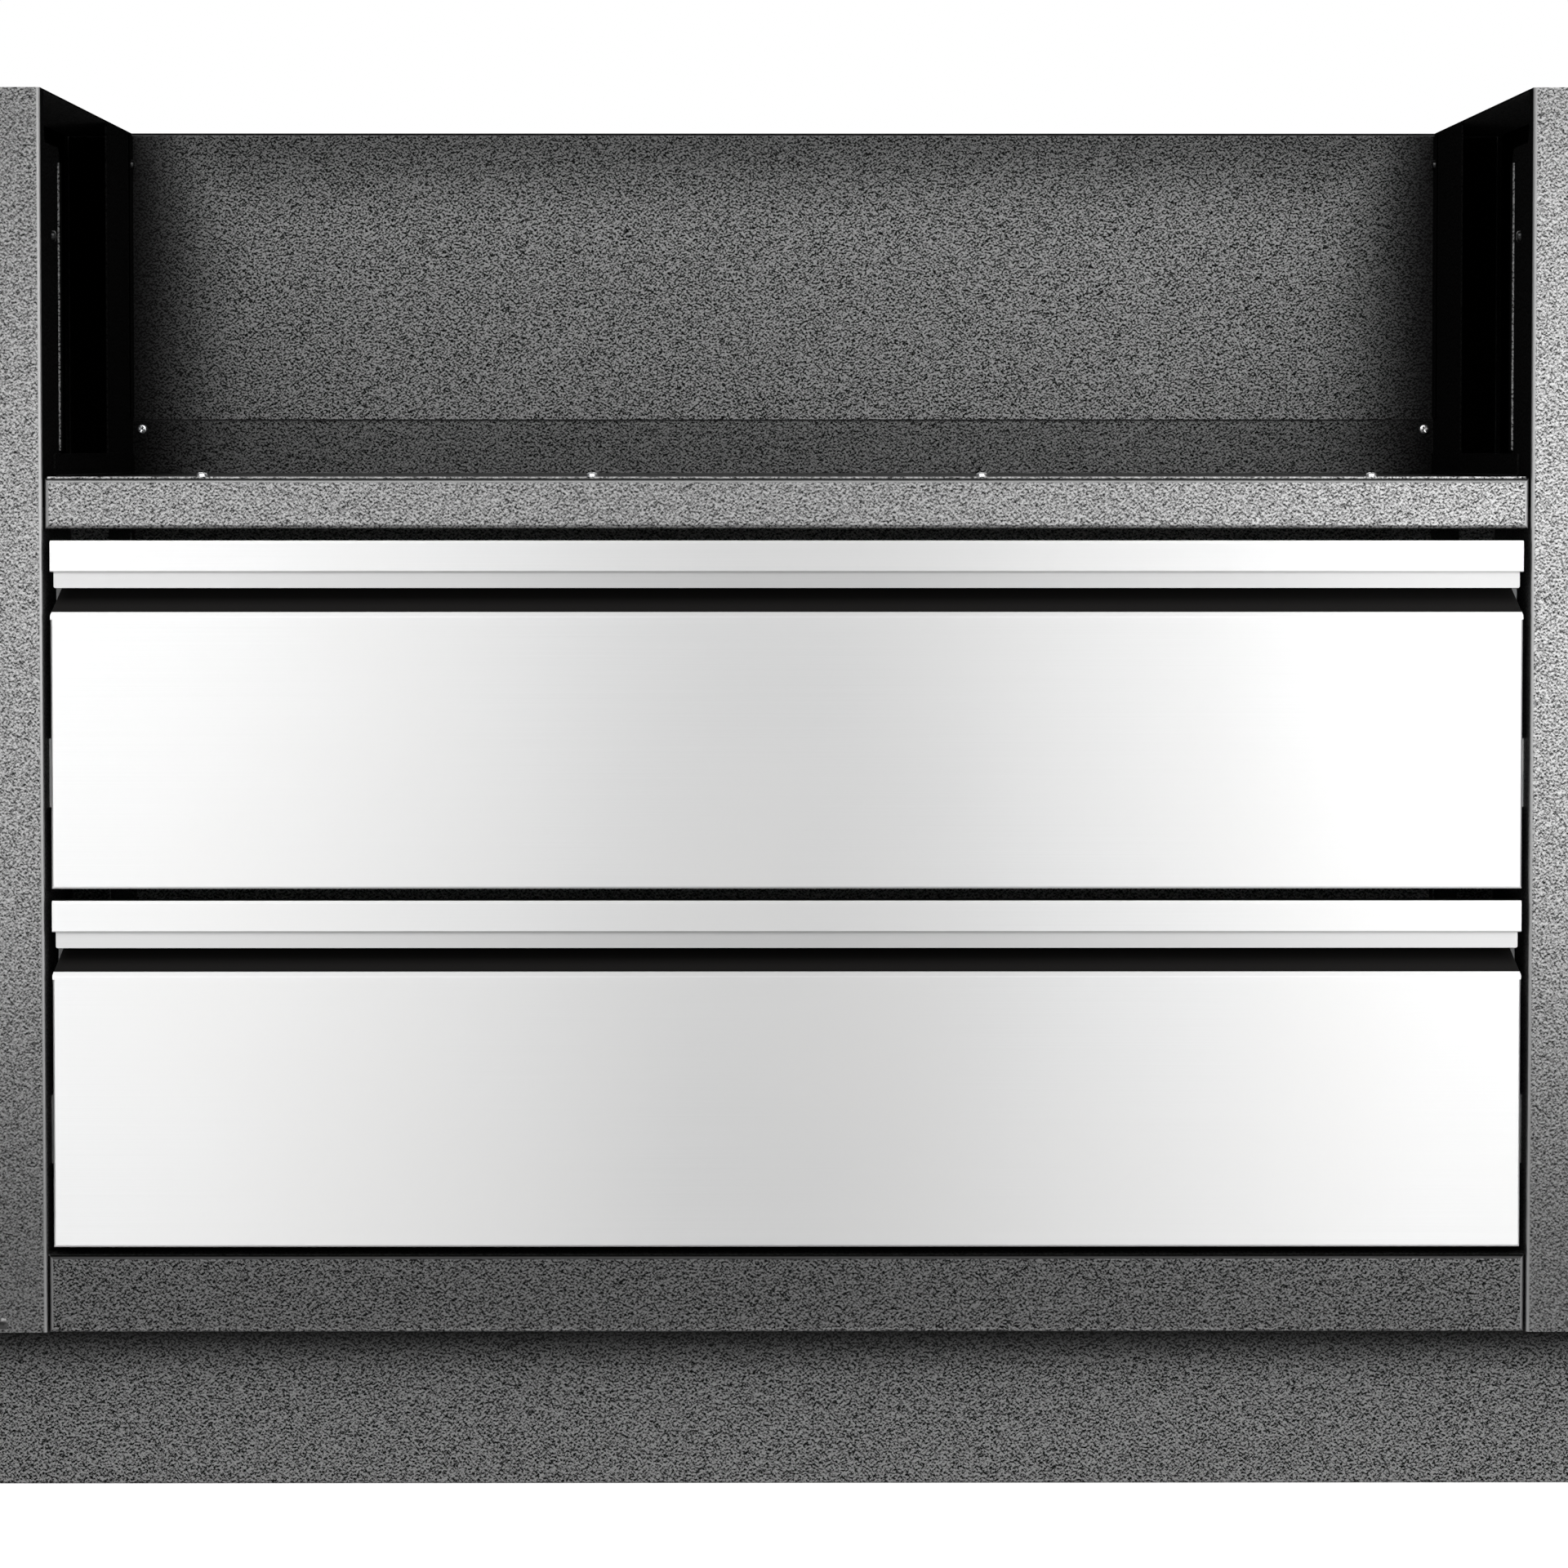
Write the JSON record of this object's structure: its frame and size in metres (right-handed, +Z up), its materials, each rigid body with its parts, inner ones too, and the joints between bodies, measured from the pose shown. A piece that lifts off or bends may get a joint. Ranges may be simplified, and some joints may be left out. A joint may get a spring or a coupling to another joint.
{
  "type": "under-grill cabinet",
  "caption": "Outdoor kitchen cabinet of folded, hammer-finished steel with an open bay for a built-in grill above full-width stainless drawers with folded finger pulls.",
  "frame": {"origin": "on the floor under the middle of the cabinet", "axes": "X across the front, the front faces -Y, Z up"},
  "size_m": [1.068, 0.61, 0.918],
  "materials": {
    "hammered_paint": "dark grey metallic powder coat with a hammered texture",
    "stainless_front": "satin stainless steel with a fine horizontal grain",
    "drawer_box_paint": "satin grey paint",
    "zinc_slide": "bright zinc plating"
  },
  "bodies": {
    "cabinet": {"bottom_rail": "hammered_paint", "floor_panel": "hammered_paint", "front_kick_panel": "hammered_paint", "grill_deck": "hammered_paint", "header_rail": "hammered_paint", "kick_gussets": "hammered_paint", "left_kick_panel": "hammered_paint", "left_side_panel": "hammered_paint", "lower_back_panel": "hammered_paint", "lower_left_slide_cabinet_member": "zinc_slide", "lower_right_slide_cabinet_member": "zinc_slide", "rear_kick_panel": "hammered_paint", "right_kick_panel": "hammered_paint", "right_side_panel": "hammered_paint", "upper_back_panel": "hammered_paint", "upper_left_slide_cabinet_member": "zinc_slide", "upper_right_slide_cabinet_member": "zinc_slide"},
    "upper_drawer": {"upper_drawer_back": "drawer_box_paint", "upper_drawer_front": "stainless_front", "upper_drawer_inner_front": "drawer_box_paint", "upper_drawer_tray": "drawer_box_paint", "upper_left_slide_drawer_member": "zinc_slide", "upper_right_slide_drawer_member": "zinc_slide"},
    "lower_drawer": {"lower_drawer_back": "drawer_box_paint", "lower_drawer_front": "stainless_front", "lower_drawer_inner_front": "drawer_box_paint", "lower_drawer_tray": "drawer_box_paint", "lower_left_slide_drawer_member": "zinc_slide", "lower_right_slide_drawer_member": "zinc_slide"},
    "upper_slide_middles": {"upper_left_slide_middle_member": "zinc_slide", "upper_right_slide_middle_member": "zinc_slide"},
    "upper_outer_ball_cages": {"upper_slide_outer_ball_cages": "zinc_slide"},
    "upper_inner_ball_cages": {"upper_slide_inner_ball_cages": "zinc_slide"},
    "lower_slide_middles": {"lower_left_slide_middle_member": "zinc_slide", "lower_right_slide_middle_member": "zinc_slide"},
    "lower_outer_ball_cages": {"lower_slide_outer_ball_cages": "zinc_slide"},
    "lower_inner_ball_cages": {"lower_slide_inner_ball_cages": "zinc_slide"}
  },
  "joints": [
    {"name": "upper_drawer_slide", "type": "slide", "parent": "cabinet", "child": "upper_drawer", "axis": [0, -1, 0], "range_m": [0, 0.48]},
    {"name": "upper_slide_middles_slide", "type": "slide", "parent": "cabinet", "child": "upper_slide_middles", "axis": [0, -1, 0], "range_m": [0, 0.24]},
    {"name": "upper_outer_ball_cages_slide", "type": "slide", "parent": "cabinet", "child": "upper_outer_ball_cages", "axis": [0, -1, 0], "range_m": [0, 0.12]},
    {"name": "upper_inner_ball_cages_slide", "type": "slide", "parent": "cabinet", "child": "upper_inner_ball_cages", "axis": [0, -1, 0], "range_m": [0, 0.36]},
    {"name": "lower_drawer_slide", "type": "slide", "parent": "cabinet", "child": "lower_drawer", "axis": [0, -1, 0], "range_m": [0, 0.48]},
    {"name": "lower_slide_middles_slide", "type": "slide", "parent": "cabinet", "child": "lower_slide_middles", "axis": [0, -1, 0], "range_m": [0, 0.24]},
    {"name": "lower_outer_ball_cages_slide", "type": "slide", "parent": "cabinet", "child": "lower_outer_ball_cages", "axis": [0, -1, 0], "range_m": [0, 0.12]},
    {"name": "lower_inner_ball_cages_slide", "type": "slide", "parent": "cabinet", "child": "lower_inner_ball_cages", "axis": [0, -1, 0], "range_m": [0, 0.36]}
  ],
  "couplings": [
    {"joint": "upper_slide_middles_slide", "follows": "upper_drawer_slide", "ratio": 0.5},
    {"joint": "upper_outer_ball_cages_slide", "follows": "upper_drawer_slide", "ratio": 0.25},
    {"joint": "upper_inner_ball_cages_slide", "follows": "upper_drawer_slide", "ratio": 0.75},
    {"joint": "lower_slide_middles_slide", "follows": "lower_drawer_slide", "ratio": 0.5},
    {"joint": "lower_outer_ball_cages_slide", "follows": "lower_drawer_slide", "ratio": 0.25},
    {"joint": "lower_inner_ball_cages_slide", "follows": "lower_drawer_slide", "ratio": 0.75}
  ]
}
